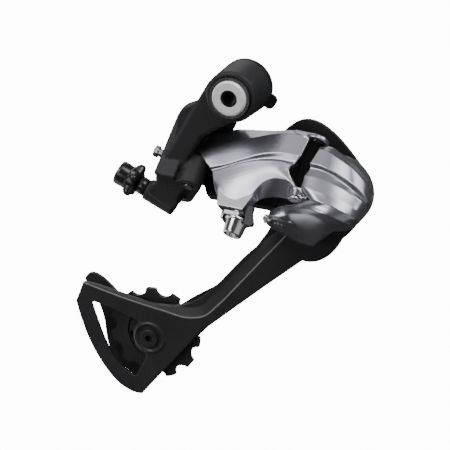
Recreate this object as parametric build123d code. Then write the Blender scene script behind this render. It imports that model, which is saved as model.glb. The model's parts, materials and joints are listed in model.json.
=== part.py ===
from build123d import *
import math
import os

# Rear derailleur for a bicycle, long cage, nine-speed chain width.
# Millimetres. +X is forward on the bicycle, +Z is up, -Y is the drive side.
# The origin is on the mounting bolt's axis, at the outboard face of the hanger.

# ---- slanted parallelogram ----
PIN_DIRECTION = Vector(0.10, 0.70, 0.707).normalized()
FORE = (Vector(1, 0, 0) - PIN_DIRECTION * PIN_DIRECTION.X).normalized()
PIN_A_FOOT = Vector(-21.0, -18.0, -42.5)
LINK_LENGTH = 54.15
REST_SWING = -4.2
CLAMP_SPOT = (30.0, 1.4)
CLAMP_FACE = 13.6
PIN_SPREAD_FORE = -9.0
PIN_SPREAD_IN = 16.0
PIN_R = 2.5
PIN_RUNNING_R = 2.53
LOWER_EAR_R = 6.4
OPEN_PIN_R = 2.6

# ---- mounting bolt and bracket barrel ----
BARREL_R = 12.2
BARREL_FOOT_R = 12.9
BARREL_LENGTH = 22.0
SPINE_BACK = -16.0
BOLT_R = 5.2
BOLT_RUNNING_R = 5.24
THREAD_R = 5.0
THREAD_LENGTH = 8.5
BOLT_HEAD_R = 8.2
HEX_ACROSS_FLATS = 6.0

# ---- cage ----
CAGE_PIVOT_X = 45.5
CAGE_PIVOT_Z = -46.0
KNUCKLE_R = 18.5
KNUCKLE_INNER_Y = 0.8
OUTER_PLATE_Y = (2.0, 4.0)
INNER_PLATE_Y = (15.0, 17.0)
PULLEY_MID_Y = 9.5
GUIDE_X = 26.5
GUIDE_Z = -58.5
TENSION_X = -52.5
TENSION_Z = -138.7

# ---- jockey pulleys ----
TEETH = 11
CHAIN_PITCH = 12.7
ROLLER_R = 3.95
TOOTH_TIP_R = 22.0
TOOTH_THICKNESS = 2.4
HUB_WIDTH = 7.0
BUSH_R = 4.0
BUSH_RUNNING_R = 4.05
PULLEY_BOLT_R = 2.5
PULLEY_BOLT_HOLE_R = 2.52
PULLEY_HEX = 3.6

# ---- cable adjuster ----
BOSS_FOOT = Vector(-31.0, -13.0, -59.5)
BOSS_DIRECTION = Vector(-0.907, 0.0, 0.421).normalized()
BOSS_R = 5.4
BOSS_LENGTH = 16.0
BARREL_SCREW_R = 3.0
BARREL_SCREW_RUNNING_R = 3.04
HOUSING_SOCKET_R = 3.05
CABLE_R = 0.9

# ---- small screws ----
SCREW_R = 2.0
SCREW_RUNNING_R = 2.04

os.makedirs("parts", exist_ok=True)

PIVOTS = Plane(origin=PIN_A_FOOT, x_dir=FORE, z_dir=PIN_DIRECTION).location
LINK_LEAN = math.radians(REST_SWING)
LINK_RUN = (LINK_LENGTH * math.cos(LINK_LEAN), LINK_LENGTH * math.sin(LINK_LEAN))
PIN_A = (0.0, 0.0)
PIN_B = (PIN_SPREAD_FORE, PIN_SPREAD_IN)
PIN_C = LINK_RUN
PIN_D = (PIN_SPREAD_FORE + LINK_RUN[0], PIN_SPREAD_IN + LINK_RUN[1])
OUTER_LINK = PIVOTS * Rot(0, 0, REST_SWING)
INNER_LINK = PIVOTS * Pos(PIN_B[0], PIN_B[1], 0) * Rot(0, 0, REST_SWING)


def save(name, shape):
    """Write one named piece."""
    solids = shape.solids()
    piece = solids[0] if len(solids) == 1 else Compound(children=list(solids))
    export_step(piece, f"parts/{name}.step")


def post(radius, low, high, at=(0.0, 0.0)):
    """A round bar standing on the local XY plane."""
    return Pos(at[0], at[1], (low + high) / 2) * Cylinder(radius, high - low)


def tube(radius, bore, low, high, at=(0.0, 0.0)):
    """A round bar with a through bore."""
    return post(radius, low, high, at) - post(bore, low - 1, high + 1, at)


def slab(sketch, low, high):
    """A flat sketch raised between two local heights."""
    return extrude(Pos(0, 0, low) * sketch, amount=high - low)


def across(sketch, near_y, far_y):
    """A side-view sketch (X to the right, Z up) thickened between two Y values."""
    side = Plane(origin=(0, far_y, 0), x_dir=(1, 0, 0), z_dir=(0, -1, 0))
    return extrude(side * sketch, amount=far_y - near_y)


def axle(radius, near_y, far_y, x=0.0, z=0.0):
    """A round bar along Y."""
    return across(Pos(x, z) * Circle(radius), near_y, far_y)


def ring(radius, bore, near_y, far_y, x=0.0, z=0.0):
    """A flat ring along Y."""
    return across(Pos(x, z) * (Circle(radius) - Circle(bore)), near_y, far_y)


def outline(points, rounding=0.0):
    """A closed outline with every corner rounded by the same radius."""
    face = make_face(Polyline(*points, close=True))
    if rounding > 0:
        face = fillet(face.vertices(), rounding)
    return face


def coil(radius, wire_r, turns, low, high):
    """A round-wire coil about the local Z axis."""
    path = Helix(pitch=(high - low) / turns, height=high - low, radius=radius)
    start = Plane(origin=path @ 0, z_dir=path % 0)
    return Pos(0, 0, low) * sweep(start * Circle(wire_r), path=path)


def lying_along_y(shape, x=0.0, z=0.0):
    """Turn a shape built about Z so that its Z runs along Y."""
    return Pos(x, 0, z) * Rot(-90, 0, 0) * shape


def hex_socket(across_flats, near_y, depth, x=0.0, z=0.0):
    """The hollow of a hexagon socket opening towards -Y."""
    hollow = RegularPolygon(radius=across_flats / math.sqrt(3), side_count=6)
    return across(Pos(x, z) * hollow, near_y - 0.1, near_y + depth)


# ---------------- mounting group ----------------

def make_mounting_bolt():
    head_y = -BARREL_LENGTH - 2.4
    head = axle(BOLT_HEAD_R, head_y, -BARREL_LENGTH)
    head = chamfer(head.faces().sort_by(Axis.Y)[0].edges(), 0.8)
    shank = axle(BOLT_R, -BARREL_LENGTH, 0)
    thread = axle(THREAD_R, 0, THREAD_LENGTH)
    thread = chamfer(thread.faces().sort_by(Axis.Y)[-1].edges(), 0.8)
    clip_groove = ring(BOLT_R + 1, BOLT_R - 0.7, -3.2, -2.2)
    lead_in = across(Circle(4.1), head_y - 0.1, head_y + 0.5)
    bolt = head + shank + thread - clip_groove - lead_in
    bolt -= hex_socket(HEX_ACROSS_FLATS, head_y, 7.0)
    return bolt


def make_bolt_bush():
    """The bright flanged bush between the bolt head and the bracket."""
    flange = ring(9.7, BOLT_HEAD_R + 0.1, -BARREL_LENGTH - 1.2, -BARREL_LENGTH + 0.9)
    sleeve = ring(9.7, BOLT_RUNNING_R, -BARREL_LENGTH + 0.05, -BARREL_LENGTH + 2.0)
    return flange + sleeve


def make_stop_plate():
    """Washer with a rounded tab and the heel that the tension screw presses on."""
    tab = Rot(0, 0, -28) * Pos(12.6, 0) * RectangleRounded(7.5, 7.0, 2.6)
    heel = Pos(-5.0, -12.5) * RectangleRounded(6.4, 9.0, 1.2)
    disc = Circle(BARREL_FOOT_R) + tab + heel
    return across(disc - Circle(BOLT_RUNNING_R), -1.9, -0.1)


def make_retaining_clip():
    gap = Pos(6.0, 0) * Rectangle(8.0, 3.0)
    band = Circle(6.9) - Circle(BOLT_R - 0.65) - gap
    return across(band, -3.1, -2.3)


def make_bracket_spring():
    return lying_along_y(coil(7.4, 0.85, 5.5, -17.0, -5.4))


# ---------------- bracket ----------------

def pivot_ears(low, high, reach):
    """One bracket ear holding the two upper pins."""
    ends = Pos(*PIN_A) * Circle(reach) + Pos(*PIN_B) * Circle(reach)
    return slab(make_hull(ends.edges()), low, high)


def make_bracket_body():
    barrel = Pos(0, -BARREL_LENGTH / 2 - 1.0, 0) * Rot(-90, 0, 0) * Cone(
        BARREL_R, BARREL_FOOT_R, BARREL_LENGTH - 2.0)
    barrel = fillet(barrel.faces().sort_by(Axis.Y)[0].edges(), 1.6)
    shoulder = outline([(-6, 10), (-12, 5.5), (-19, -6.5), (-27, -21), (-33, -31),
                        (-39, -42), (-39.5, -53), (-30, -56), (-23.5, -49), (-22.5, -34),
                        (-16, -22), (-2, -13.5), (8, -8)], 2.4)
    arm = across(shoulder, -19.5, -4.0)
    arm = chamfer(arm.faces().sort_by(Axis.Y)[0].edges(), 1.0)
    lower_ear = PIVOTS * (post(6.0, -4.5, 10.0) + pivot_ears(-4.5, 4.0, 6.0))
    upper_ear = PIVOTS * pivot_ears(25.0, 30.0, 6.0)
    spine = outline([(SPINE_BACK, -7), (-5.4, -7), (-5.4, 5), (-14.0, 12), (-14.0, 21), (SPINE_BACK, 22)])
    back_wall = PIVOTS * slab(spine, -4.5, 30.0)
    bridge = PIVOTS * slab(outline([(-12, -13), (17.5, -13), (9, 2), (-5, 6), (-16, 2)], 1.5),
                           25.0, 33.0)
    boss = Plane(origin=BOSS_FOOT, z_dir=BOSS_DIRECTION).location * post(BOSS_R, 0, BOSS_LENGTH)
    lug_side = outline([(-29.4, -9.4), (-25.4, -4.8), (-17.0, -4.0), (-19.0, -19.0), (-30.2, -19.0)], 1.8)
    screw_lug = across(lug_side, -6.6, -0.2)
    flank = outline([(-25, -36), (-37.1, -39), (-37.3, -46.2), (-42.6, -49.7), (-42.8, -52.7),
                     (-30.6, -59.6), (-28.4, -57.2), (-26.9, -50.4)], 1.2)
    boss_web = across(flank, -19.4, -9.6)
    body = barrel + arm + lower_ear + upper_ear + back_wall + bridge + boss + screw_lug + boss_web
    return body - bracket_hollows()


def bracket_hollows():
    """Everything bored or milled out of the bracket."""
    bolt_bore = axle(BOLT_RUNNING_R, -30, 5)
    bush_seat = axle(9.8, -30, -BARREL_LENGTH + 2.05)
    spring_room = axle(9.0, -18.6, -1.0)
    outer_room = outline([(-4.9, -7.2), (16, -9.5), (60, -20), (60, 60), (-4, 45), (-4.9, 5)])
    outer_link_room = PIVOTS * (post(4.9, 10.3, 24.7) + slab(outer_room, 10.3, 24.7))
    inner_room = outline([(-13.9, 16), (-13.5, 60), (60, 60), (40, 8), (-7, 11.2)])
    inner_link_room = PIVOTS * (post(4.9, 4.3, 24.7, PIN_B) + slab(inner_room, 4.3, 24.7))
    pin_holes = PIVOTS * (post(PIN_R + 0.01, -6, 32, PIN_A) + post(PIN_R + 0.01, -6, 32, PIN_B))
    boss_frame = Plane(origin=BOSS_FOOT, z_dir=BOSS_DIRECTION).location
    adjuster_hole = boss_frame * (post(BARREL_SCREW_RUNNING_R, 3.0, 20) + post(1.4, -20, 5))
    stop_plate_room = axle(18.5, -2.05, 10)
    screws = tension_screw_frame() * (post(SCREW_RUNNING_R, -4, 40) + post(3.0, -12, -0.1))
    for frame in limit_screw_frames():
        screws += frame * post(SCREW_RUNNING_R, -4, 40)
    hollows = bolt_bore + bush_seat + spring_room + outer_link_room + inner_link_room
    return hollows + pin_holes + adjuster_hole + screws + stop_plate_room


def tension_screw_frame():
    """Where the tension screw enters its lug, Z along the screw towards the heel."""
    return Plane(origin=(-26.0, -2.7, -14.2), z_dir=(1.0, 0.0, 0.0)).location


def limit_screw_frames():
    """Where the two limit screws enter the back of the bracket, Z along each screw."""
    lower = Plane(origin=(-38.6, -7.0, -36.9), z_dir=(0.95, 0.0, -0.31)).location
    upper = PIVOTS * Pos(SPINE_BACK, 7.5, 17.5) * Rot(0, 90, 0)
    return lower, upper


def make_pin_a():
    return PIVOTS * post(PIN_R, -5.2, 30.6, PIN_A)


def make_pin_b():
    return PIVOTS * post(PIN_R, -5.2, 30.6, PIN_B)


def make_return_spring():
    """Torsion coil round the rear upper pin, above the inner link's barrel."""
    return PIVOTS * Pos(PIN_B[0], PIN_B[1], 0) * coil(3.7, 0.6, 4.5, 16.2, 22.8)


# ---------------- small screws ----------------

def cross_head_screw(length, head_r=3.2, head_height=2.2):
    """Screw with its head behind the seat and its shank running along +Z."""
    head = post(head_r, -head_height, 0)
    head = chamfer(head.faces().sort_by(Axis.Z)[0].edges(), 0.5)
    cross = Box(0.9, 3.6, 2.4) + Box(3.6, 0.9, 2.4)
    return head + post(SCREW_R, 0, length) - Pos(0, 0, -head_height) * cross


def make_tension_screw():
    return tension_screw_frame() * Pos(0, 0, -1.4) * cross_head_screw(18.4, 2.7)


def make_limit_screw(index, stand_off):
    return limit_screw_frames()[index] * Pos(0, 0, -stand_off) * cross_head_screw(12.0, 2.9)


# ---------------- cable adjuster ----------------

def boss_mouth():
    """Outer face of the cable boss, Z pointing out along the housing."""
    return Plane(origin=BOSS_FOOT + BOSS_DIRECTION * BOSS_LENGTH, z_dir=BOSS_DIRECTION).location


def make_adjuster_barrel():
    stem = post(BARREL_SCREW_R, -9.5, 4.2)
    collar = post(4.1, 0.5, 2.3) + post(3.5, 2.3, 3.6)
    return boss_mouth() * (stem + collar - post(CABLE_R + 0.3, -12, 8))


def make_adjuster_knob():
    """Moulded knob: a smooth cap behind a five-lobed grip, with the housing socket inside."""
    grip = Circle(6.4)
    for turn in range(5):
        grip += Rot(0, 0, 72 * turn + 18) * Pos(5.8, 0) * Circle(2.4)
    socket = Circle(HOUSING_SOCKET_R)
    stem_seat = slab(grip - Circle(3.55), 3.8, 4.6)
    flange = slab(grip - Circle(CABLE_R + 0.4), 4.6, 8.0)
    cap = slab(Circle(6.0) - socket, 8.0, 15.8)
    rim = slab(Circle(5.5) - socket, 15.8, 16.6)
    return boss_mouth() * (stem_seat + flange + cap + rim)


# ---------------- parallelogram links ----------------

def outer_link_face():
    """Front view of the outer link: along the link, and up the pins."""
    return outline([(1.5, 24.4), (1.5, 11.2), (8.5, 5.6), (12.6, 1.2), (15, -4), (21, -11.6),
                    (33, -11.6), (35.6, -18.2), (39.8, -18.6), (40.2, -16.6), (37.6, -10.2),
                    (41, -5.8), (46.2, -0.2), (54.2, -0.2), (54.2, 4.4), (48.2, 7.0),
                    (47.8, 27.0), (54.2, 29.0), (54.2, 31.8), (43, 32.4), (34, 30.6), (16, 24.4)], 0.8)


def make_outer_link():
    front = Plane(origin=(0, 2.6, 0), x_dir=(1, 0, 0), z_dir=(0, -1, 0))
    blank = extrude(front * outer_link_face(), amount=12.0)
    belly = make_face(ThreePointArc((-6, -2.2), (27, -7.0), (62, -3.6))
                      + Polyline((62, -3.6), (62, 2.4), (27, -1.0), (-6, 2.4), (-6, -2.2)))
    plate = blank & slab(belly, -25, 40)
    link = plate + post(4.2, 11.0, 24.4)
    link += post(LOWER_EAR_R, -0.2, 4.4, (LINK_LENGTH, 0)) + post(5.6, 29.0, 31.8, (LINK_LENGTH, 0))
    link += post(4.6, -13.6, 0.0, CLAMP_SPOT)
    link -= post(6.5, -20, 10.4)
    link -= post(6.6, 4.4, 29.0, (LINK_LENGTH, 0))
    link -= post(PIN_RUNNING_R, 5, 30, PIN_A)
    link -= post(PIN_R + 0.01, -10, 40, (LINK_LENGTH, 0))
    link -= post(2.5, -15, -3.0, CLAMP_SPOT)
    return OUTER_LINK * link


def make_clamp_plate():
    """Grooved washer that pinches the cable under the outer link."""
    under = -CLAMP_FACE
    x, y = CLAMP_SPOT
    plate = slab(Pos(x - 2.4, y) * RectangleRounded(10.0, 11.0, 2.4), under - 1.9, under - 0.1)
    lip = slab(Pos(x - 6.8, y) * Rectangle(1.2, 7.0), under - 3.4, under - 1.8)
    groove = Pos(x, y - 3.6, under - 0.1) * Rot(0, 90, 0) * Cylinder(CABLE_R, 20)
    return OUTER_LINK * (plate + lip - groove - post(2.55, -25, 0, CLAMP_SPOT))


def make_clamp_bolt():
    top = -CLAMP_FACE - 2.0
    flange = post(5.3, top - 1.2, top, CLAMP_SPOT)
    head = Pos(CLAMP_SPOT[0], CLAMP_SPOT[1], top - 4.4) * Cone(4.4, 5.0, 6.8)
    head = chamfer(head.faces().sort_by(Axis.Z)[0].edges(), 0.5)
    socket = RegularPolygon(radius=5.0 / math.sqrt(3), side_count=6)
    bolt = flange + head + post(2.49, top - 0.1, -3.2, CLAMP_SPOT)
    return OUTER_LINK * (bolt - slab(Pos(*CLAMP_SPOT) * socket, top - 9, top - 4))


def make_pin_c():
    shaft = post(PIN_R, -0.6, 32.2, (LINK_LENGTH, 0))
    rivet = post(3.4, -1.4, -0.25, (LINK_LENGTH, 0))
    rivet = fillet(rivet.faces().sort_by(Axis.Z)[0].edges(), 0.8)
    return OUTER_LINK * (shaft + rivet)


def make_inner_link():
    """Plain black arm joining the rear pins, tall at the bracket, low at the knuckle."""
    side = outline([(0, 4.6), (10, 4.6), (14, -1.5), (36, -1.5), (50, -1.2), (52, 11), (22, 11), (8, 15.2),
                    (0, 15.2)], 0.7)
    front = Plane(origin=(0, 2.4, 0), x_dir=(1, 0, 0), z_dir=(0, -1, 0))
    web = extrude(front * side, amount=4.8)
    link = web + post(4.0, 4.6, 15.2) + post(4.0, -1.2, 11.2, (LINK_LENGTH, 0))
    link -= Pos(28, -2.4, 4.6) * Box(30, 2.4, 8)
    link -= post(PIN_RUNNING_R, 0, 20)
    link -= post(OPEN_PIN_R, -5, 15, (LINK_LENGTH, 0))
    return INNER_LINK * link


# ---------------- knuckle ----------------

def make_knuckle_body():
    housing = axle(KNUCKLE_R, -19.0, KNUCKLE_INNER_Y, CAGE_PIVOT_X, CAGE_PIVOT_Z)
    housing = fillet(housing.faces().sort_by(Axis.Y)[0].edges(), 5.0)
    foot = outline([(38.6, 5), (40.2, 20.5), (45, 27), (56.5, 30), (68, 27), (74, 12),
                    (62, 4), (52, 9), (46, 3.2), (42, 2.2)], 1.5)
    neck = outline([(54.6, -9.2), (66, -9.8), (78, -7.4), (87, 0), (87, 6), (78, 14), (60, 12),
                    (52, 2)], 1.5)
    front = outline([(50, -12), (50, 28.2), (61, 28.2), (73, 25.5), (82.5, 20), (87, 12), (87, 5),
                     (85, -3), (75, -12)], 2.0)
    front_plane = Plane(origin=(0, 40, 0), x_dir=(1, 0, 0), z_dir=(0, -1, 0))
    neck_block = slab(neck, 4.9, 28.2) & extrude(front_plane * front, amount=80)
    block = slab(foot, -8.6, 14.4) + neck_block
    lug = post(5.4, 4.9, 28.2, PIN_C)
    body = housing + PIVOTS * (block + lug)
    body = body - knuckle_link_room() - knuckle_bores()
    too_far_in = Pos(40, KNUCKLE_INNER_Y + 50, -50) * Box(300, 100, 300)
    return (body - too_far_in).solids().sort_by(SortBy.VOLUME)[-1]


def knuckle_link_room():
    """Space the two links sweep through beside the knuckle."""
    towards_bracket = outline([(45, 16.9), (10, 22), (10, -30), (34, -14), (49, 9)])
    inner = post(4.9, -1.8, 11.8, PIN_D) + slab(towards_bracket, -1.8, 11.8)
    above_ear = slab(outline([(30, -3), (47, 2), (52, 9), (55, 20), (50, 40), (20, 40)]), 14.4, 40)
    below = outline([(10, -40), (60, -40), (54, 1.6), (44, 1.0), (20, 0)])
    ear_below = post(LOWER_EAR_R + 0.6, -20, 4.7, PIN_C) + slab(below, -20, 4.7)
    side = outline([(10, -40), (54.5, -40), (54.5, -9.4), (50.2, -6), (49.6, 1.6), (40, 2), (10, 0)])
    return PIVOTS * (inner + above_ear + ear_below + slab(side, 4.6, 40))


def knuckle_bores():
    """Sleeve seat, rear pin hole, axle bore and spring room."""
    sleeve_seat = PIVOTS * post(4.25, 0, 40, PIN_C)
    pin_hole = PIVOTS * post(PIN_R + 0.01, -12, 40, PIN_D)
    axle_bore = axle(5.05, -14.0, 5, CAGE_PIVOT_X, CAGE_PIVOT_Z)
    spring_room = ring(12.6, 6.6, -9.5, 5, CAGE_PIVOT_X, CAGE_PIVOT_Z)
    return sleeve_seat + pin_hole + axle_bore + spring_room


def make_hinge_sleeve():
    return PIVOTS * tube(4.22, PIN_RUNNING_R, 4.9, 28.2, PIN_C)


def make_pin_d():
    return PIVOTS * post(PIN_R, -9.0, 14.2, PIN_D)


def make_cage_spring():
    return lying_along_y(coil(9.6, 0.9, 4.5, -8.2, -0.4), CAGE_PIVOT_X, CAGE_PIVOT_Z)


def make_pivot_seal():
    return ring(16.4, 13.2, KNUCKLE_INNER_Y + 0.02, 1.8, CAGE_PIVOT_X, CAGE_PIVOT_Z)


# ---------------- cage ----------------

def make_cage_axle():
    stem = axle(5.0, -13.6, 2.0, CAGE_PIVOT_X, CAGE_PIVOT_Z)
    foot = axle(4.4, 2.0, 4.6, CAGE_PIVOT_X, CAGE_PIVOT_Z)
    return stem + foot


def smooth_face(*runs):
    """Closed face from runs of points; a run of two is straight, a longer one is a curve."""
    edges = Curve()
    for run in runs:
        edges += Polyline(*run) if len(run) == 2 else Spline(*run)
    return make_face(edges)


def outer_plate_face():
    """Long arm with its foot round the tension pulley and its eye at the cage pivot."""
    upper_edge = [(-88.8, -113.5), (-65, -117.5), (-44.5, -119.9), (-34, -118.1), (-21.6, -109.8),
                  (-1.7, -87.2), (14, -72.5), (28, -58)]
    foot_curve = [(-57.5, -171.2), (-66.5, -169.4), (-78.8, -158), (-87.5, -142.5), (-93.2, -124.5)]
    heel = [(27.4, -85), (33.9, -84.8), (44.3, -76.9), (49.5, -66), (56, -48)]
    body = smooth_face(upper_edge, [(28, -58), (34, -38)], [(34, -38), (44, -34), (54, -39), (56, -48)],
                       heel[::-1], [(27.4, -85), (-25.2, -131.2)], [(-25.2, -131.2), (-57.5, -171.2)],
                       foot_curve, [(-93.2, -124.5), (-88.8, -113.5)])
    window = smooth_face([(-85.2, -123.4), (-73, -125.6), (-58.6, -130.3)],
                         [(-58.6, -130.3), (-54.6, -150.2)], [(-54.6, -150.2), (-60.9, -161.8)],
                         [(-60.9, -161.8), (-70, -156), (-78.5, -142), (-85.2, -123.4)])
    window = fillet(window.vertices(), 1.5)
    window -= Pos(TENSION_X, TENSION_Z) * Circle(9.2)
    return body - window


def make_outer_plate():
    near, far = OUTER_PLATE_Y
    plate = across(outer_plate_face(), near, far)
    plate += ring(8.2, 7.0, near - 0.7, near + 0.2, TENSION_X, TENSION_Z)
    for x, z in ((TENSION_X, TENSION_Z), (GUIDE_X, GUIDE_Z)):
        plate -= axle(PULLEY_BOLT_HOLE_R, -5, 10, x, z)
    plate -= axle(4.42, -5, 10, CAGE_PIVOT_X, CAGE_PIVOT_Z)
    return plate


def inner_plate_face():
    upper_edge = [(-76.7, -121.8), (-62, -128), (-46, -127), (-34.4, -119.1), (-20.9, -110), (0, -86),
                  (11, -66), (12.5, -44), (11.5, -29.5), (16.9, -22)]
    crown = [(16.9, -22), (28, -18.5), (38.9, -24.3), (49, -34.9), (55.1, -44.1), (56, -52)]
    heel = [(56, -52), (53, -64), (43, -77), (31, -85), (22.6, -91.5)]
    foot_curve = [(-58, -170), (-66.7, -167.8), (-76, -161.5), (-82, -151.5), (-83.6, -139.7),
                  (-86.6, -130), (-94.3, -118)]
    lobe = [(-94.3, -118), (-90, -113.7), (-84, -115.6), (-76.7, -121.8)]
    return smooth_face(upper_edge, crown, heel, [(22.6, -91.5), (4, -107.4)],
                       [(4, -107.4), (-26, -134)], [(-26, -134), (-58, -170)], foot_curve, lobe)


def make_inner_plate():
    near, far = INNER_PLATE_Y
    plate = across(inner_plate_face(), near, far)
    for x, z in ((TENSION_X, TENSION_Z), (GUIDE_X, GUIDE_Z)):
        plate -= axle(PULLEY_BOLT_HOLE_R, 10, 20, x, z)
    return plate


def make_pulley_bolt(x, z, head_height):
    """Button-head bolt through both plates; the guide's head is a low one."""
    head_y = OUTER_PLATE_Y[0] - head_height
    head = axle(4.65, head_y, OUTER_PLATE_Y[0], x, z)
    head = fillet(head.faces().sort_by(Axis.Y)[0].edges(), 0.3 * head_height)
    bolt = head + axle(PULLEY_BOLT_R, OUTER_PLATE_Y[0], 18.2, x, z)
    return bolt - hex_socket(PULLEY_HEX, head_y, 2.4, x, z)


def make_pulley_bush(x, z):
    return ring(BUSH_R, PULLEY_BOLT_R + 0.03, OUTER_PLATE_Y[1], INNER_PLATE_Y[0], x, z)


def make_seal_caps():
    """Four dished washers, one on each side of each pulley."""
    caps = []
    for x, z in ((GUIDE_X, GUIDE_Z), (TENSION_X, TENSION_Z)):
        for low, high in ((4.2, 5.6), (13.4, 14.8)):
            caps.append(ring(8.0, BUSH_R + 0.01, low, high, x, z))
    return Compound(children=caps)


def pulley_profile():
    """Toothed ring: roller seats cut into a disc, leaving short blunt teeth."""
    pitch_r = CHAIN_PITCH / (2 * math.sin(math.pi / TEETH))
    teeth = Circle(TOOTH_TIP_R)
    for index in range(TEETH):
        teeth -= Rot(0, 0, index * 360 / TEETH) * Pos(pitch_r, 0) * Circle(ROLLER_R)
    return teeth


def make_pulley(x, z, lead):
    half = HUB_WIDTH / 2
    toothed = slab(Rot(0, 0, lead) * pulley_profile(), -TOOTH_THICKNESS / 2, TOOTH_THICKNESS / 2)
    rim = tube(17.2, 14.4, -2.1, 2.1)
    hub = post(8.4, -half, half)
    body = toothed + rim + hub
    for index in range(5):
        pocket = Rot(0, 0, 72 * index + 18) * Pos(11.4, 0) * RectangleRounded(4.0, 7.4, 1.2)
        body -= slab(pocket, -5, 5)
    body -= post(BUSH_RUNNING_R, -10, 10)
    return Pos(x, PULLEY_MID_Y, z) * Rot(-90, 0, 0) * body


def main():
    save("mounting_bolt", make_mounting_bolt())
    save("bolt_bush", make_bolt_bush())
    save("stop_plate", make_stop_plate())
    save("retaining_clip", make_retaining_clip())
    save("bracket_spring", make_bracket_spring())
    save("bracket_body", make_bracket_body())
    save("pin_a", make_pin_a())
    save("pin_b", make_pin_b())
    save("return_spring", make_return_spring())
    save("tension_screw", make_tension_screw())
    save("limit_screw_high", make_limit_screw(0, 3.6))
    save("limit_screw_low", make_limit_screw(1, 2.9))
    save("adjuster_barrel", make_adjuster_barrel())
    save("adjuster_knob", make_adjuster_knob())
    save("outer_link", make_outer_link())
    save("clamp_plate", make_clamp_plate())
    save("clamp_bolt", make_clamp_bolt())
    save("pin_c", make_pin_c())
    save("inner_link", make_inner_link())
    save("knuckle_body", make_knuckle_body())
    save("hinge_sleeve", make_hinge_sleeve())
    save("pin_d", make_pin_d())
    save("cage_spring", make_cage_spring())
    save("pivot_seal", make_pivot_seal())
    save("cage_axle", make_cage_axle())
    save("outer_plate", make_outer_plate())
    save("inner_plate", make_inner_plate())
    save("guide_bolt", make_pulley_bolt(GUIDE_X, GUIDE_Z, 0.9))
    save("tension_bolt", make_pulley_bolt(TENSION_X, TENSION_Z, 1.4))
    save("guide_bush", make_pulley_bush(GUIDE_X, GUIDE_Z))
    save("tension_bush", make_pulley_bush(TENSION_X, TENSION_Z))
    save("seal_caps", make_seal_caps())
    save("guide_pulley", make_pulley(GUIDE_X, GUIDE_Z, 0))
    save("tension_pulley", make_pulley(TENSION_X, TENSION_Z, -10.2))


main()
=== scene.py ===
import json
import math

import bmesh
import bpy
import numpy as np
from mathutils import Matrix, Vector


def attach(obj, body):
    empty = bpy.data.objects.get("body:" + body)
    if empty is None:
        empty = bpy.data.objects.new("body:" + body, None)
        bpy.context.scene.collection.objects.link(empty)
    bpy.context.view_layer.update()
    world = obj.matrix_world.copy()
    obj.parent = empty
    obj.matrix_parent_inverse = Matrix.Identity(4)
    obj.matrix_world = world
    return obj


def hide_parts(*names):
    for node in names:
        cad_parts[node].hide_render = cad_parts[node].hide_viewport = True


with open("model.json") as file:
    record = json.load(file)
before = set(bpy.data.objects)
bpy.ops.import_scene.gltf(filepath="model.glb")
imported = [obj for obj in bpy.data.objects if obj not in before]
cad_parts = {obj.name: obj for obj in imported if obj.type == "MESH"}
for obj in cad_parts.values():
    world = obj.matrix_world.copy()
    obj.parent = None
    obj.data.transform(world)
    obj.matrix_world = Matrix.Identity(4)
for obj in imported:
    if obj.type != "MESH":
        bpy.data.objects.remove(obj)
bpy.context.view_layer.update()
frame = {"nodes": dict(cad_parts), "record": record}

MM = 0.001

# Lengths below are in millimetres, apart from the size and place of the floor and the place of the camera,
# which are in metres.


# ---------------- materials ----------------

BROAD_SCALE = 55.0
WEAR_RADIUS = 0.6
BUMP_DISTANCE = 0.2


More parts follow.
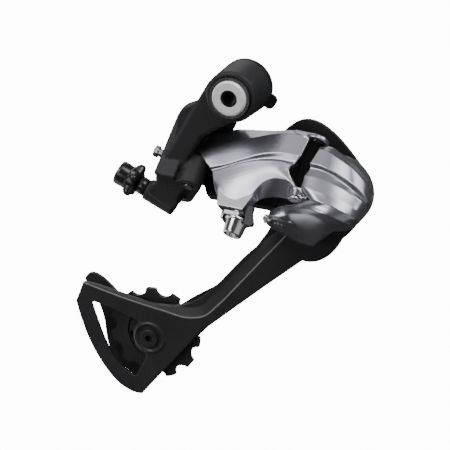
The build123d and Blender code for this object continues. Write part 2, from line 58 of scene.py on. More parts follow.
def material(name, colour, metallic, roughness, grain=900.0, grain_depth=0.02,
             rough_spread=0.08, wear=0.0, wear_colour=(0.5, 0.5, 0.5), coat=0.0,
             mottling=0.12, brushed=None, shine=0.5):
    """Finish with noise in its colour, roughness and bump, and optional rubbed edges."""
    mat = bpy.data.materials.new(name)
    mat.use_nodes = True
    nodes = mat.node_tree.nodes
    links = mat.node_tree.links
    bsdf = nodes["Principled BSDF"]
    coords = nodes.new("ShaderNodeTexCoord")
    place = nodes.new("ShaderNodeMapping")
    links.new(coords.outputs["Object"], place.inputs["Vector"])
    if brushed:
        place.inputs["Scale"].default_value = brushed

    fine = nodes.new("ShaderNodeTexNoise")
    fine.inputs["Scale"].default_value = grain
    fine.inputs["Detail"].default_value = 4.0
    links.new(place.outputs["Vector"], fine.inputs["Vector"])
    broad = nodes.new("ShaderNodeTexNoise")
    broad.inputs["Scale"].default_value = BROAD_SCALE
    broad.inputs["Detail"].default_value = 5.0
    links.new(coords.outputs["Object"], broad.inputs["Vector"])

    tint = nodes.new("ShaderNodeMixRGB")
    tint.inputs["Color1"].default_value = [c * (1 - mottling) for c in colour] + [1]
    tint.inputs["Color2"].default_value = [min(1, c * (1 + mottling)) for c in colour] + [1]
    links.new(broad.outputs["Fac"], tint.inputs["Fac"])
    base = tint.outputs["Color"]
    if wear > 0:
        edge = nodes.new("ShaderNodeBevel")
        edge.samples = 4
        edge.inputs["Radius"].default_value = WEAR_RADIUS * MM
        geometry = nodes.new("ShaderNodeNewGeometry")
        facing = nodes.new("ShaderNodeVectorMath")
        facing.operation = "DOT_PRODUCT"
        links.new(edge.outputs["Normal"], facing.inputs[0])
        links.new(geometry.outputs["Normal"], facing.inputs[1])
        band = nodes.new("ShaderNodeMapRange")
        band.inputs["From Min"].default_value = 0.99
        band.inputs["From Max"].default_value = 0.85
        band.inputs["To Max"].default_value = wear
        links.new(facing.outputs["Value"], band.inputs["Value"])
        patchy = nodes.new("ShaderNodeMath")
        patchy.operation = "MULTIPLY"
        links.new(band.outputs["Result"], patchy.inputs[0])
        links.new(broad.outputs["Fac"], patchy.inputs[1])
        worn = nodes.new("ShaderNodeMixRGB")
        worn.inputs["Color2"].default_value = list(wear_colour) + [1]
        links.new(patchy.outputs["Value"], worn.inputs["Fac"])
        links.new(base, worn.inputs["Color1"])
        base = worn.outputs["Color"]
    links.new(base, bsdf.inputs["Base Color"])

    gloss = nodes.new("ShaderNodeMapRange")
    gloss.inputs["To Min"].default_value = max(0.02, roughness - rough_spread)
    gloss.inputs["To Max"].default_value = min(1.0, roughness + rough_spread)
    links.new(broad.outputs["Fac"], gloss.inputs["Value"])
    links.new(gloss.outputs["Result"], bsdf.inputs["Roughness"])

    bump = nodes.new("ShaderNodeBump")
    bump.inputs["Strength"].default_value = grain_depth
    bump.inputs["Distance"].default_value = BUMP_DISTANCE * MM
    links.new(fine.outputs["Fac"], bump.inputs["Height"])
    links.new(bump.outputs["Normal"], bsdf.inputs["Normal"])
    bsdf.inputs["Metallic"].default_value = metallic
    bsdf.inputs["Coat Weight"].default_value = coat
    bsdf.inputs["Specular IOR Level"].default_value = shine
    return mat


def paint_over(mat, share, colour):
    """Mixes a colour over the finish by a share from another node's output."""
    links = mat.node_tree.links
    base = mat.node_tree.nodes["Principled BSDF"].inputs["Base Color"]
    painted = base.links[0].from_socket
    mix = mat.node_tree.nodes.new("ShaderNodeMixRGB")
    mix.inputs["Color2"].default_value = list(colour) + [1]
    links.new(share, mix.inputs["Fac"])
    links.new(painted, mix.inputs["Color1"])
    links.new(mix.outputs["Color"], base)


def paint_bore_shade(mat, radius):
    """Paints near-black shade over the finish inside a bore of this radius that runs along the Y axis,
    standing in for the dark inside a deep socket.
    """
    nodes = mat.node_tree.nodes
    links = mat.node_tree.links
    coords = nodes.new("ShaderNodeTexCoord")
    flat = nodes.new("ShaderNodeVectorMath")
    flat.operation = "MULTIPLY"
    flat.inputs[1].default_value = (1, 0, 1)
    links.new(coords.outputs["Object"], flat.inputs[0])
    away = nodes.new("ShaderNodeVectorMath")
    away.operation = "LENGTH"
    links.new(flat.outputs["Vector"], away.inputs[0])
    inside = nodes.new("ShaderNodeMapRange")
    inside.inputs["From Min"].default_value = radius * MM * 1.03
    inside.inputs["From Max"].default_value = radius * MM * 0.97
    links.new(away.outputs["Value"], inside.inputs["Value"])
    # painted shade: near-black inside the bore's radius
    paint_over(mat, inside.outputs["Result"], (0.012, 0.012, 0.013))
    return mat


def paint_highlight_along(mat, attribute, colour, amount):
    """Paints a highlight over the finish where a mesh carries the named attribute."""
    nodes = mat.node_tree.nodes
    mark = nodes.new("ShaderNodeAttribute")
    mark.attribute_name = attribute
    share = nodes.new("ShaderNodeMath")
    share.operation = "MULTIPLY"
    share.inputs[1].default_value = amount
    mat.node_tree.links.new(mark.outputs["Fac"], share.inputs[0])
    paint_over(mat, share.outputs["Value"], colour)


BOLT_BORE_R = 4.0
SILVER = material("silver_paint", (0.34, 0.335, 0.385), 0.85, 0.25, grain=2600, grain_depth=0.05, wear=0.3,
                  wear_colour=(0.7, 0.7, 0.74), mottling=0.04)
BLACK = material("black_satin", (0.024, 0.024, 0.026), 0.0, 0.50, grain=1800, grain_depth=0.10, wear=0.10,
                 wear_colour=(0.16, 0.16, 0.165), shine=0.25)
CAGE = material("cage_satin_bend_highlight", (0.026, 0.026, 0.028), 0.15, 0.42, grain=1500, grain_depth=0.06, wear=0.25,
                wear_colour=(0.20, 0.20, 0.205), shine=0.4)
STEEL = material("turned_steel", (0.50, 0.50, 0.51), 1.0, 0.28, grain=700, grain_depth=0.08,
                 brushed=(1, 6, 1))
CHROME = material("bright_plate", (0.86, 0.86, 0.87), 1.0, 0.14, grain=600, grain_depth=0.03, mottling=0.03,
                  rough_spread=0.04)
SPRING = material("spring_steel", (0.36, 0.36, 0.37), 1.0, 0.35, grain=900, grain_depth=0.10)
PLASTIC = material("black_plastic", (0.014, 0.014, 0.015), 0.0, 0.22, grain=900, grain_depth=0.05)
PULLEY = material("pulley_resin", (0.020, 0.020, 0.021), 0.0, 0.46, grain=700, grain_depth=0.12, wear=0.2,
                  wear_colour=(0.10, 0.10, 0.10))
RUBBER = material("seal_rubber", (0.018, 0.018, 0.018), 0.0, 0.75, grain=1500, grain_depth=0.20)

# The mounting bolt's face: bright plating, with painted shade inside its socket.
BOLT_FACE = paint_bore_shade(material("bolt_plating_bore_shade", (0.97, 0.97, 0.98), 0.15, 0.30, grain=500, grain_depth=0.03,
                                 mottling=0.03, coat=0.5), BOLT_BORE_R)
# Painted shade: a near-black, barely glossy finish for the hinge sleeve, standing in for the shadowed gap
# between link and knuckle.
SHADE = material("hinge_painted_shade", (0.002, 0.002, 0.002), 0.0, 0.6, grain=900, grain_depth=0.1, shine=0.04)

# Painted highlight: a light grey line along the outer plate's bend, in place of the light its edge catches.
paint_highlight_along(CAGE, "bend_highlight", (0.36, 0.36, 0.37), 0.9)

FINISHES = {
    "black_satin": BLACK, "silver": SILVER, "chrome": CHROME, "steel": STEEL,
    "dark_steel": CAGE, "black_plastic": PLASTIC, "pulley_plastic": PULLEY,
    "seal_rubber": RUBBER, "spring_steel": SPRING,
}


def dress_frame():
    """Gives each CAD node the procedural finish of its slot."""
    slots = {s["node"]: s["material_slot"] for s in frame["record"]["subparts"]}
    for name, node in frame["nodes"].items():
        node.data.materials.clear()
        node.data.materials.append(FINISHES[slots[name]])
    # The hinge sleeve takes painted shade for the gap, and the bolt face has painted shade in its socket.
    for name, finish in (("mounting_bolt", BOLT_FACE), ("hinge_sleeve", SHADE), ("pin_c", STEEL)):
        frame["nodes"][name].data.materials[0] = finish


dress_frame()


# ---------------- shaping helpers ----------------

PIN_DIRECTION = Vector((0.10, 0.70, 0.707)).normalized()
FORE = (Vector((1, 0, 0)) - PIN_DIRECTION * PIN_DIRECTION.x).normalized()
INBOARD = PIN_DIRECTION.cross(FORE)
PIN_A_FOOT = Vector((-21.0, -18.0, -42.5))
REST_SWING = math.radians(-4.2)
LINK_LENGTH = 54.15
CLAMP_SPOT = (30.0, 1.4)
PIN_C = (LINK_LENGTH * math.cos(REST_SWING), LINK_LENGTH * math.sin(REST_SWING))
PIN_D = (PIN_C[0] - 9.0, PIN_C[1] + 16.0)
CAGE_PIVOT = Vector((45.5, 0, -46.0))
TENSION_SPOT = Vector((-52.5, 0, -138.7))
KNOB_AXIS = Vector((-0.907, 0.0, 0.421)).normalized()
KNOB_FOOT = Vector((-31.0, -13.0, -59.5)) + KNOB_AXIS * 16.0

SHELL_WALL = 2.2
TURNED_SEGMENTS = 96
LOBED_SEGMENTS = 160
SMOOTHING = 0.5


def at_pins(fore, inboard, up):
    """A place given along the links, across them and up the pins, in millimetres."""
    return (PIN_A_FOOT + FORE * fore + INBOARD * inboard + PIN_DIRECTION * up) * MM


def pin_frame(fore=0.0, inboard=0.0):
    """Matrix with its Z up the pins."""
    turn = Matrix((FORE, INBOARD, PIN_DIRECTION)).transposed().to_4x4()
    return Matrix.Translation(at_pins(fore, inboard, 0.0)) @ turn


def link_frame():
    """Matrix with its X along the outer link at rest and its Z up the pins."""
    return pin_frame() @ Matrix.Rotation(REST_SWING, 4, "Z")


def clamp_frame():
    """The link's frame moved to the cable clamp."""
    return link_frame() @ Matrix.Translation(Vector((CLAMP_SPOT[0], CLAMP_SPOT[1], 0)) * MM)


def axle_frame():
    """Matrix with its Z along +Y, for round pieces about the cage axle."""
    return Matrix.Translation(CAGE_PIVOT * MM) @ Matrix.Rotation(-math.pi / 2, 4, "X")


def face_frame():
    """Matrix with X forward, Y up and Z towards the drive side."""
    return Matrix.Rotation(math.pi / 2, 4, "X")


def placed(name, mesh, smooth=True):
    """A new object holding the mesh, in the scene."""
    obj = bpy.data.objects.new(name, mesh)
    bpy.context.collection.objects.link(obj)
    shade(obj, smooth)
    return obj


def shade(obj, smooth=True):
    for polygon in obj.data.polygons:
        polygon.use_smooth = smooth


def mesh_object(name, verts, faces, smooth=True):
    mesh = bpy.data.meshes.new(name)
    mesh.from_pydata([tuple(v) for v in verts], [], faces)
    mesh.update()
    return placed(name, mesh, smooth)


def modifier(obj, kind, **settings):
    mod = obj.modifiers.new(kind.lower(), kind)
    for key, value in settings.items():
        setattr(mod, key, value)


def bake(obj):
    """Turns the object's modifiers into plain mesh."""
    graph = bpy.context.evaluated_depsgraph_get()
    mesh = bpy.data.meshes.new_from_object(obj.evaluated_get(graph))
    obj.modifiers.clear()
    obj.data = mesh


def curve_points(points, count):
    """A smooth curve through points, sampled evenly by chord length."""
    pts = np.array(points, float)
    chord = np.concatenate([[0], np.cumsum(np.linalg.norm(np.diff(pts, axis=0), axis=1))])
    slopes = np.gradient(pts, chord, axis=0)
    where = np.linspace(0, chord[-1], count)
    index = np.clip(np.searchsorted(chord, where, side="right") - 1, 0, len(pts) - 2)
    span = (chord[index + 1] - chord[index])[:, None]
    t = (where[:, None] - chord[index][:, None]) / span
    return hermite(pts[index], pts[index + 1], slopes[index] * span, slopes[index + 1] * span, t)


def hermite(p0, p1, m0, m1, t):
    return ((2 * t ** 3 - 3 * t ** 2 + 1) * p0 + (t ** 3 - 2 * t ** 2 + t) * m0
            + (3 * t ** 2 - 2 * t ** 3) * p1 + (t ** 3 - t ** 2) * m1)


def skin(name, rows, creased, columns, steps):
    """A shell through curves laid side by side, in the pins' frame; creased rows stay sharp."""
    lines = np.array([curve_points(row, columns) for row in rows])
    sheets = []
    last = len(rows) - 1
    for i in range(last):
        here, there = lines[i], lines[i + 1]
        straight = there - here
        leave = straight if i == 0 or i in creased else (there - lines[i - 1]) / 2
        arrive = straight if i + 1 == last or i + 1 in creased else (lines[i + 2] - here) / 2
        for k in range(steps[i]):
            sheets.append(hermite(here, there, leave, arrive, k / steps[i]))
    sheets.append(lines[-1])
    grid = np.array(sheets)
    verts = [at_pins(*p) for p in grid.reshape(-1, 3)]
    faces = []
    for r in range(len(grid) - 1):
        for c in range(columns - 1):
            a = r * columns + c
            faces.append((a, a + columns, a + columns + 1, a + 1))
    obj = mesh_object(name, verts, faces)
    modifier(obj, "SOLIDIFY", thickness=SHELL_WALL * MM, offset=-1.0)
    bake(obj)
    return obj


def swept(name, rings, frame_matrix):
    """A round piece through rings of (radii evenly spaced round Z, height) in the frame."""
    segments = len(rings[0][0])
    verts, faces = [], []
    for radii, height in rings:
        for k, radius in enumerate(radii):
            angle = 2 * math.pi * k / segments
            verts.append(frame_matrix @ Vector((radius * MM * math.cos(angle),
                                                radius * MM * math.sin(angle), height * MM)))
    for r in range(len(rings) - 1):
        for k in range(segments):
            n = (k + 1) % segments
            faces.append((r * segments + k, r * segments + n, (r + 1) * segments + n,
                          (r + 1) * segments + k))
    return mesh_object(name, verts, faces)


def turned(name, profile, frame_matrix):
    """A turned piece: (radius, height) pairs swept round Z of the frame."""
    rings = [([radius] * TURNED_SEGMENTS, height) for radius, height in profile]
    return swept(name, rings, frame_matrix)


def lobed(name, rings, lobes, frame_matrix):
    """A scalloped grip through rings of (waist radius, lobe height, height along Z)."""
    angles = [2 * math.pi * k / LOBED_SEGMENTS for k in range(LOBED_SEGMENTS)]
    swells = [(0.5 + 0.5 * math.cos(lobes * angle)) ** 1.3 for angle in angles]
    scalloped = [([waist + bulge * swell for swell in swells], height) for waist, bulge, height in rings]
    return swept(name, scalloped, frame_matrix)


def ring(name, inner, outer, low, high, frame_matrix):
    """A plain washer or collar with square edges."""
    profile = [(inner, low), (outer, low), (outer, high), (inner, high), (inner, low)]
    return turned(name, profile, frame_matrix)


def prism(name, points, low, high, frame_matrix):
    """A flat outline raised between two heights of the frame."""
    count = len(points)
    verts = [frame_matrix @ Vector((x * MM, y * MM, h * MM)) for h in (low, high) for x, y in points]
    faces = [tuple(range(count))[::-1], tuple(range(count, 2 * count))]
    faces += [(k, (k + 1) % count, count + (k + 1) % count, count + k) for k in range(count)]
    obj = mesh_object(name, verts, faces, smooth=False)
    tidy_normals(obj)
    return obj


def tidy_normals(obj):
    work = bmesh.new()
    work.from_mesh(obj.data)
    bmesh.ops.recalc_face_normals(work, faces=work.faces)
    work.to_mesh(obj.data)
    work.free()


def joined(name, parts):
    """Several meshes as one object."""
    work = bmesh.new()
    for part in parts:
        work.from_mesh(part.data)
    mesh = bpy.data.meshes.new(name)
    work.to_mesh(mesh)
    work.free()
    for part in parts:
        bpy.data.objects.remove(part)
    return placed(name, mesh)


def rounded(obj, voxel, passes):
    """Melts the pieces of a mesh together and eases every edge."""
    modifier(obj, "REMESH", mode="VOXEL", voxel_size=voxel * MM)
    modifier(obj, "SMOOTH", factor=SMOOTHING, iterations=passes)
    bake(obj)
    shade(obj)


def bevelled(obj, width, segments, from_angle):
    """Bevels the edges sharper than an angle in degrees."""
    modifier(obj, "BEVEL", width=width * MM, segments=segments, limit_method="ANGLE",
             angle_limit=math.radians(from_angle))
    bake(obj)


def copy_of(node):
    """A loose twin of a CAD node, to be reworked."""
    source = frame["nodes"][node]
    twin = bpy.data.objects.new(node + "_form", source.data.copy())
    twin.matrix_world = source.matrix_world
    bpy.context.collection.objects.link(twin)
    return twin


def dressed(obj, name, finish, body, *nodes):
    """Names a piece, gives it its finish and lets it stand for its CAD nodes."""
    obj.name = name
    obj.data.materials.clear()
    obj.data.materials.append(FINISHES[finish])
    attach(obj, body)
    if nodes:
        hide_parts(*nodes)


# ---------------- the silver outer link ----------------

def outer_link():
    """The painted link: a creased shell on its pivot barrel, ears, clamp boss and webs."""
    rows = [
        [(-1, -1, 15.5), (6, -1, 22.5), (13.6, -1, 26.4), (23.5, -1, 28), (33.6, -1.5, 29),
         (42.3, -2, 31.4), (51, -3, 30.6)],
        [(-1, -3.5, 16.5), (6, -3.5, 23.5), (13.6, -3.5, 27.7), (23.5, -4, 29.4), (33.6, -5, 30.8),
         (42.3, -5.5, 32.6), (51.5, -6, 31.6)],
        [(1, -4.5, 11.4), (8.5, -5.5, 15.6), (17, -7, 20), (26, -8, 23.4), (33.7, -8.6, 26.8),
         (43, -8.8, 29.3), (51.9, -8.4, 28.9)],
        [(8.8, -5, 5.2), (16.5, -6.3, 8), (25.3, -7.8, 12.4), (32, -8.8, 15.6), (40, -9.1, 18.1),
         (51, -8.7, 18.9)],
        [(9.6, -3.9, 4.3), (16.8, -5.2, 7.1), (24, -6.4, 10.5), (32.5, -7.4, 13.8), (41, -7.7, 15.5),
         (49.4, -7.8, 15.6)],
        [(11, -5, 3.5), (17, -6.5, 6.2), (21.4, -7.5, 8.5), (33, -9, 12.7), (42.4, -9.3, 14.1),
         (48.4, -9, 14.1)],
        [(12.8, -5, -0.6), (18, -6.2, -1.5), (23, -7.2, -1), (30, -8.3, 3), (37, -9, 8.2),
         (43, -9.2, 10), (48.9, -8.6, 9.4)],
        [(15.2, -4.5, -4.6), (19, -5.1, -9), (23.2, -5.5, -12), (30, -6, -12), (33.4, -6.2, -8.7),
         (35, -7, -3.8), (38.7, -8, 3), (44, -8.3, 6.2), (50, -8.2, 5.6), (54, -8, 3.6), (58, -7.4, 1.9),
         (60, -6, 0.3)],
        [(15, -2, -4.7), (18.7, -2.4, -9), (22.6, -2.8, -12), (29.6, -3.2, -12), (34, -2, -8.3),
         (36.7, -0.8, -3.5), (42, -1.2, -1), (48, -2.6, -0.6), (54, -3.6, -1.1), (58, -3.8, -1.2),
         (60, -3.4, -0.8)],
    ]
    shell = skin("link_shell", rows, creased={1, 2, 3, 5, 7, 8}, columns=110,
                 steps=[3, 8, 14, 4, 4, 5, 14, 10])
    at_c = pin_frame(*PIN_C)
    low_ear = turned("link_ear", [(2.55, 0.3), (3.2, 0.3), (3.6, 1.2), (4.4, 3.0), (4.4, 4.2), (2.55, 4.2),
                                  (2.55, 0.3)], at_c)
    high_ear = turned("link_top", [(2.55, 29.1), (5.6, 29.1), (6.0, 29.6), (5.6, 31.4), (2.55, 31.9),
                                   (2.55, 29.1)], at_c)
    barrel = ring("link_barrel", 2.6, 4.2, 11, 24.3, link_frame())
    boss = ring("link_boss", 2.6, 4.6, -13.4, -4, clamp_frame())
    face = link_frame() @ face_frame()
    seat = prism("link_seat", [(17, -4), (20, -12.4), (33.2, -12.4), (36, -4)], -1.5, 4.5, face)
    web = prism("link_web", [(-0.5, 11.2), (6, 11.2), (14, 12), (14, 22), (6, 24), (-0.5, 24)],
                -0.5, 3.4, face)
    crown = prism("top_web", [(44, 29.2), (54, 29.2), (54, 31.6), (44, 31.9)], -0.6, 5.0, face)
    link = joined("link_raw", [shell, barrel, low_ear, high_ear, boss, seat, web, crown])
    rounded(link, voxel=0.28, passes=3)
    dressed(link, "outer_link_skin", "silver", "outer_arm", "outer_link")


def cable_finger():
    """The small hook that hangs beside the cable clamp, given the dark cage finish as painted shade, because
    it faces away from the light.
    """
    finger = prism("link_finger", [(33.0, -8), (35.6, -18.0), (37.5, -18.9), (39.8, -18.4), (40.1, -16.8),
                                   (37.8, -12.5), (37.4, -9)], 0.6, 3.0, link_frame() @ face_frame())
    rounded(finger, voxel=0.28, passes=4)
    # painted shade: the dark finish stands in for the shade on this hook
    dressed(finger, "cable_finger", "dark_steel", "outer_arm")


# ---------------- the silver knuckle ----------------

def knuckle():
    """The painted knuckle: a creased shell on the cage housing, pivot ears and a flat foot."""
    rows = [
        [(58, 8, 24), (68, 8, 24), (76, 9, 20), (82, 11, 15.5), (83, 13, 14)],
        [(56.4, -4.5, 26.8), (62.4, -3.8, 28.8), (66.7, -3, 27.4), (72.7, -1, 25.8), (77.6, 1.5, 23.2),
         (81.8, 5, 20.6), (83.4, 9, 18)],
        [(57.6, -7.6, 25.2), (61.7, -7.8, 25), (66.6, -7.3, 23.3), (72.9, -5.6, 21.1), (78.9, -2, 18.5),
         (83.3, 2.5, 15.7), (84.6, 8, 13.5)],
        [(56, -8, 17.1), (62.4, -8.8, 16.4), (71.8, -7.2, 14.5), (80.7, -3.4, 11.6), (85.4, 2, 8.9),
         (84.8, 8, 8)],
        [(55.4, -6.8, 15.2), (62.5, -7.2, 15.1), (71.8, -5.8, 12.9), (80, -2.2, 10), (84.6, 3, 8.0),
         (84.4, 8, 7)],
        [(54.5, -7.4, 10.6), (58.6, -8.3, 10.6), (67.5, -7.8, 9.8), (76.6, -5.4, 8.4), (84.8, 0.6, 6.4),
         (84.8, 7, 5)],
        [(53.2, -6.3, 5.3), (57.7, -8.2, 4.6), (63.9, -8.6, 4), (70.8, -8, 3.4), (77.9, -6, 2.5),
         (83.6, -2.2, 1.4), (85, 4, 2)],
        [(62.6, -7.6, -0.6), (66, -8.4, -0.7), (71.4, -8, -1.1), (80.4, -5, -2.3), (83.7, -2, -2.6),
         (84.5, 2, -1.8)],
        [(54.6, -2.5, -1.9), (59.5, -4.3, -2.9), (63.3, -6.2, -4.1), (68.3, -7.1, -5.1), (73.6, -6.3, -5.4),
         (78.7, -3, -5.6), (81.7, 0, -5)],
        [(42.4, 5, -3.4), (47.2, 2.5, -3.9), (52.5, 0.5, -4.9), (58.1, -1.5, -6.3), (63.7, -3, -7.2),
         (68.8, -2, -8), (72.9, 2, -8.2), (73.2, 6, -7.9)],
        [(41.0, 6, -7.6), (44.2, 2.9, -7.8), (47.7, 3, -8.2), (51, 6, -8.3), (56, 11, -8.5), (59.4, 16, -8.6),
         (61.4, 20, -8.7), (61.6, 23, -8.7)],
        [(41.2, 6.4, -8.4), (38.9, 9.3, -8.6), (38.2, 14.9, -8.6), (40.0, 18.4, -8.6), (43.4, 21.6, -8.6),
         (47.2, 26.2, -8.6), (52.2, 28.6, -8.6), (58.5, 28.8, -8.6)],
        [(41.5, 6, -6), (40.4, 10, -5), (40.4, 15, -4), (43, 19, -3), (47, 22, -2), (52, 24.5, -2),
         (58, 25.5, -2)],
    ]
    shell = skin("knuckle_shell", rows, creased={2, 3, 4, 5, 6, 7, 8, 10, 11}, columns=96,
                 steps=[6, 6, 12, 3, 6, 8, 8, 6, 8, 8, 10, 6])
    housing = turned("knuckle_housing", [(13.2, 0.7), (17.2, 0.7), (17.6, 0.2), (17.6, -9.0), (16.0, -12.5),
                                         (11.0, -14.5), (5.1, -14.5), (5.1, -10), (13.0, -9.5),
                                         (13.2, 0.7)], axle_frame())
    low_ear = ring("low_ear", 2.52, 6.0, -8.5, -3.2, pin_frame(*PIN_D))
    high_ear = ring("high_ear", 2.52, 5.2, 11.9, 14.2, pin_frame(*PIN_D))
    foot = prism("knuckle_foot", [(53, 5.2), (46, 5.0), (42.3, 5.9), (39.9, 8.0), (38.7, 10.8), (38.6, 13.6),
                                  (39.6, 16.3), (42, 19.4), (45, 22.5), (52, 27.2), (58, 26.5), (60.5, 21),
                                  (59, 15), (55, 10)], -8.6, -3.2, pin_frame())
    cheek = prism("knuckle_cheek", [(51.5, 8), (60, 4.5), (64, 8), (60, 20), (52, 20)], -4, 14, pin_frame())
    body = joined("knuckle_raw", [shell, housing, low_ear, high_ear, foot, cheek])
    rounded(body, voxel=0.30, passes=5)
    dressed(body, "knuckle_skin", "silver", "knuckle", "knuckle_body")


# ---------------- bracket, plates and small pieces ----------------

LUG_TOP_X = [-32.4, -29.5, -23.4, -20.0, -16.8]
LUG_TOP_Z = [-15.9, -11.8, -9.2, -4.8, -2.2]
LUG_SPAN_Y = (-8.5, 2.0)


def bracket():
    """The cast bracket with its corners melted and the shoulder lug sloped."""
    cheek = prism("bracket_cheek", [(-14, 0), (-20.1, -6.8), (-26.2, -9.4), (-28.6, -13.2), (-29.2, -19.7),
                                    (-31.0, -26.5), (-33.0, -31.5), (-26, -31), (-20, -20), (-12, -6)],
                  9.5, 16.5, face_frame())
    body = joined("bracket_raw", [copy_of("bracket_body"), cheek])
    rounded(body, voxel=0.40, passes=1)
    for vertex in body.data.vertices:
        x, y, z = vertex.co / MM
        if x < LUG_TOP_X[-1] and LUG_SPAN_Y[0] < y < LUG_SPAN_Y[1]:
            ceiling = float(np.interp(x, LUG_TOP_X, LUG_TOP_Z))
            vertex.co.z = min(z, ceiling) * MM
    modifier(body, "SMOOTH", factor=SMOOTHING, iterations=14)
    bake(body)
    dressed(body, "bracket_cast", "black_satin", "bracket", "bracket_body")


def knob():
    """Scalloped grip with a plain cap, and the collar it screws over."""
    across = Vector((0, 1, 0))
    turn = Matrix((across, KNOB_AXIS.cross(across), KNOB_AXIS)).transposed().to_4x4()
    at_mouth = Matrix.Translation(KNOB_FOOT * MM) @ turn
    grip = lobed("knob_grip", [(3.6, 0, 5.3), (5.4, 1.0, 5.3), (6.0, 2.3, 5.7), (6.2, 2.6, 6.5),
                               (6.2, 2.6, 7.9), (6.1, 2.2, 8.9), (6.0, 1.0, 9.8), (5.9, 0.0, 10.6),
                               (4.2, 0.0, 10.6)], 5, at_mouth)
    collar = turned("collar", [(3.05, 0.3), (4.1, 0.3), (4.3, 0.6), (4.3, 4.2), (4.0, 4.6), (3.05, 4.7)],
                    at_mouth)
    dressed(collar, "collar_turned", "black_plastic", "adjuster_stem")
    cap = turned("knob_cap", [(3.06, 10.0), (3.06, 16.4), (4.9, 16.6), (5.5, 16.4), (5.9, 15.8), (6.0, 14.8),
                              (5.85, 12.0), (5.85, 8.6)], at_mouth)
    piece = joined("knob_raw", [grip, cap])
    tidy_normals(piece)
    dressed(piece, "knob_moulded", "black_plastic", "adjuster_grip", "adjuster_knob")


PLATE_BEND = [(-96, -112.4), (-88, -114.1), (-64.6, -119.3), (-46, -122.4), (-30.4, -124.2), (-22.9, -122),
              (-16, -115.5), (-3.9, -101.3), (7.4, -87.6), (19, -73.7), (27, -64.1)]
BEND_SAMPLES = 90
BEND_SLOPE = 0.32
BEND_DEPTH = 1.6
BEND_FADE_X = (7.0, 15.0)
BEND_HIGHLIGHT_WIDTH = 0.28
PLATE_FACE_Y = 3.2


def bend_offsets(spots):
    """How far (x, z) spots lie from the outer plate's bend, and how far above it, in millimetres."""
    line = curve_points(PLATE_BEND, BEND_SAMPLES)
    start, run = line[:-1], np.diff(line, axis=0)
    nearest = np.full(len(spots), np.inf)
    above = np.zeros(len(spots))
    for (x0, z0), (dx, dz) in zip(start, run):
        t = np.clip(((spots[:, 0] - x0) * dx + (spots[:, 1] - z0) * dz) / (dx * dx + dz * dz), 0, 1)
        away = np.hypot(spots[:, 0] - x0 - t * dx, spots[:, 1] - z0 - t * dz)
        closer = away < nearest
        side = (dx * (spots[:, 1] - z0) - dz * (spots[:, 0] - x0)) > 0
        above[closer] = np.where(side, away, 0)[closer]
        nearest[closer] = away[closer]
    return nearest, above


def outer_plate():
    """Pressed plate whose upper strip leans inboard from a crisp bend, with a painted highlight along the
    bend.
    """
    plate = copy_of("outer_plate")
    rounded(plate, voxel=0.30, passes=3)
    count = len(plate.data.vertices)
    co = np.empty(count * 3)
    plate.data.vertices.foreach_get("co", co)
    co = co.reshape(-1, 3)
    nearest, above = bend_offsets(co[:, [0, 2]] / MM)
    fade = np.clip((BEND_FADE_X[1] - co[:, 0] / MM) / (BEND_FADE_X[1] - BEND_FADE_X[0]), 0, 1)
    co[:, 1] += np.minimum(BEND_DEPTH, BEND_SLOPE * above) * fade * MM
    plate.data.vertices.foreach_set("co", co.ravel())
    # Painted highlight: a narrow band along the bend on the outboard face, which the cage finish lightens.
    mark = plate.data.attributes.new("bend_highlight", "FLOAT", "POINT")
    outboard = co[:, 1] < PLATE_FACE_Y * MM
    mark.data.foreach_set("value", np.exp(-(nearest / BEND_HIGHLIGHT_WIDTH) ** 2) * outboard)
    plate.data.update()
    dressed(plate, "outer_plate_pressed", "dark_steel", "cage", "outer_plate")


def inner_plate():
    plate = copy_of("inner_plate")
    rounded(plate, voxel=0.30, passes=3)
    dressed(plate, "inner_plate_pressed", "dark_steel", "cage", "inner_plate")


def clamp_bolt():
    """Cable clamp bolt: washer flange, tapered head and a blind socket."""
    bolt = turned("clamp_turned", [(2.45, -3.3), (2.45, -15.7), (5.8, -15.7), (6.0, -15.9), (6.0, -16.5),
                                   (5.8, -16.75), (5.15, -16.85), (4.5, -22.8), (4.25, -23.25), (3.9, -23.4),
                                   (2.95, -23.4), (2.8, -23.2), (2.8, -19.7), (0.0, -19.7)],
                  clamp_frame())
    bevelled(bolt, width=0.1, segments=2, from_angle=35)
    tidy_normals(bolt)
    shade(bolt)
    dressed(bolt, "clamp_bolt_turned", "chrome", "outer_arm", "clamp_bolt")


TOOTHED_FROM_R = 17.4
TOOTH_RISE = 2.3
TOOTH_PHASE = math.radians(2.5)


def tension_pulley():
    """The lower wheel with its toothed ring moved outward and turned a little."""
    wheel = copy_of("tension_pulley")
    centre = TENSION_SPOT * MM
    turn = Matrix.Rotation(-TOOTH_PHASE, 3, "Y")
    for vertex in wheel.data.vertices:
        arm = vertex.co - centre
        flat = Vector((arm.x, 0, arm.z))
        drawn = min(1.0, max(0.0, flat.length / MM - TOOTHED_FROM_R))
        vertex.co = centre + turn @ (arm + flat.normalized() * (TOOTH_RISE * drawn * MM))
    bevelled(wheel, width=0.25, segments=3, from_angle=40)
    dressed(wheel, "tension_pulley_moulded", "pulley_plastic", "tension_wheel", "tension_pulley")


cable_finger()
outer_link()
knuckle()
bracket()
clamp_bolt()
knob()
tension_pulley()
outer_plate()
inner_plate()


# ---------------- stage, light, camera ----------------

FLOOR_SIZE = 30.0
FLOOR_HEIGHT = -0.75
FLOOR_GLOW = 12.0


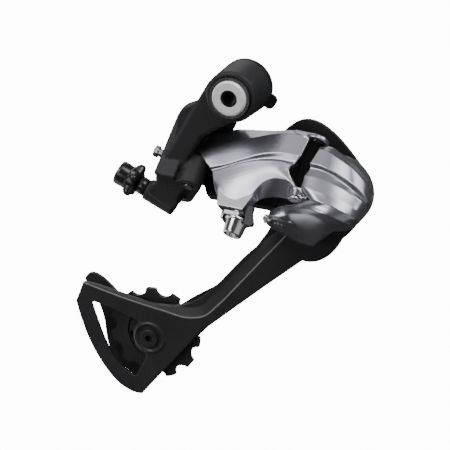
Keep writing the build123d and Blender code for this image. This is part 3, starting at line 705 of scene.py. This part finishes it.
def stage():
    """Pale floor well under the part, bright enough to read as plain paper."""
    bpy.ops.mesh.primitive_plane_add(size=FLOOR_SIZE, location=(0, 0, FLOOR_HEIGHT))
    floor = bpy.context.object
    floor.name = "floor"
    mat = bpy.data.materials.new("floor_white")
    mat.use_nodes = True
    nodes = mat.node_tree.nodes
    links = mat.node_tree.links
    bsdf = nodes["Principled BSDF"]
    paper = nodes.new("ShaderNodeTexNoise")
    paper.inputs["Scale"].default_value = 3.0
    tone = nodes.new("ShaderNodeMixRGB")
    tone.inputs["Color1"].default_value = (0.93, 0.93, 0.93, 1)
    tone.inputs["Color2"].default_value = (0.95, 0.95, 0.95, 1)
    links.new(paper.outputs["Fac"], tone.inputs["Fac"])
    links.new(tone.outputs["Color"], bsdf.inputs["Base Color"])
    bsdf.inputs["Roughness"].default_value = 0.9
    bsdf.inputs["Emission Color"].default_value = (1, 1, 1, 1)
    bsdf.inputs["Emission Strength"].default_value = FLOOR_GLOW
    floor.data.materials.append(mat)
    floor.visible_diffuse = False
    floor.visible_glossy = False


def heading(round_from_front, height):
    """Unit vector by degrees round from the drive side and degrees above level."""
    level = math.cos(math.radians(height))
    turn = math.radians(round_from_front)
    return Vector((level * math.sin(turn), -level * math.cos(turn), math.sin(math.radians(height))))


# Each soft box: degrees round from the drive side, degrees above level, radius in degrees of its
# full-strength core, radius at which it has faded out, and strength.
SOFT_BOXES = [
    (-37, 42, 5, 20, 7.0),
    (-20, 15, 3, 14, 4.5),
    (62, 62, 8, 22, 6.5),
    (118, 38, 6, 18, 5.0),
    (-62, 62, 12, 34, 0.9),
    (-150, 35, 8, 30, 1.6),
    (50, -12, 8, 45, 0.5),
    (-88, -28, 8, 44, 1.3),
]
ROOM_LIGHT = 0.05


def studio():
    """Soft boxes painted into the surrounding world, so that metal has something to mirror."""
    world = bpy.data.worlds.new("studio")
    bpy.context.scene.world = world
    world.use_nodes = True
    nodes = world.node_tree.nodes
    links = world.node_tree.links
    coords = nodes.new("ShaderNodeTexCoord")
    total = None
    for round_from_front, height, core, reach, strength in SOFT_BOXES:
        toward = nodes.new("ShaderNodeVectorMath")
        toward.operation = "DOT_PRODUCT"
        toward.inputs[1].default_value = heading(round_from_front, height)
        links.new(coords.outputs["Generated"], toward.inputs[0])
        box = nodes.new("ShaderNodeMapRange")
        box.interpolation_type = "SMOOTHSTEP"
        box.inputs["From Min"].default_value = math.cos(math.radians(reach))
        box.inputs["From Max"].default_value = math.cos(math.radians(core))
        box.inputs["To Max"].default_value = strength
        links.new(toward.outputs["Value"], box.inputs["Value"])
        if total is None:
            total = box.outputs["Result"]
            continue
        both = nodes.new("ShaderNodeMath")
        both.operation = "ADD"
        links.new(total, both.inputs[0])
        links.new(box.outputs["Result"], both.inputs[1])
        total = both.outputs["Value"]
    dim = nodes.new("ShaderNodeMath")
    dim.operation = "ADD"
    dim.inputs[1].default_value = ROOM_LIGHT
    links.new(total, dim.inputs[0])
    background = nodes["Background"]
    background.inputs["Color"].default_value = (1, 1, 1, 1)
    links.new(dim.outputs["Value"], background.inputs["Strength"])


CAMERA_AZIMUTH = math.radians(21.0)
CAMERA_ELEVATION = math.radians(21.0)
CAMERA_DISTANCE = 0.800
CAMERA_LEFT = 0.01023256
CAMERA_DOWN = 0.06511628
SENSOR_WIDTH = 36.0
LENS = 137.6


def camera():
    """View from the drive side, a little ahead and above, aimed below the mounting bolt."""
    level = math.cos(CAMERA_ELEVATION)
    back = Vector((math.sin(CAMERA_AZIMUTH) * level, -math.cos(CAMERA_AZIMUTH) * level,
                   math.sin(CAMERA_ELEVATION)))
    right = Vector((math.cos(CAMERA_AZIMUTH), math.sin(CAMERA_AZIMUTH), 0))
    up = back.cross(right)
    place = back * CAMERA_DISTANCE - right * CAMERA_LEFT - up * CAMERA_DOWN
    data = bpy.data.cameras.new("camera")
    data.sensor_width = SENSOR_WIDTH
    data.lens = LENS
    data.clip_start = 0.01
    shot = bpy.data.objects.new("camera", data)
    bpy.context.collection.objects.link(shot)
    shot.matrix_world = Matrix.Translation(place) @ Matrix((right, up, back)).transposed().to_4x4()
    bpy.context.scene.camera = shot


stage()
studio()
camera()
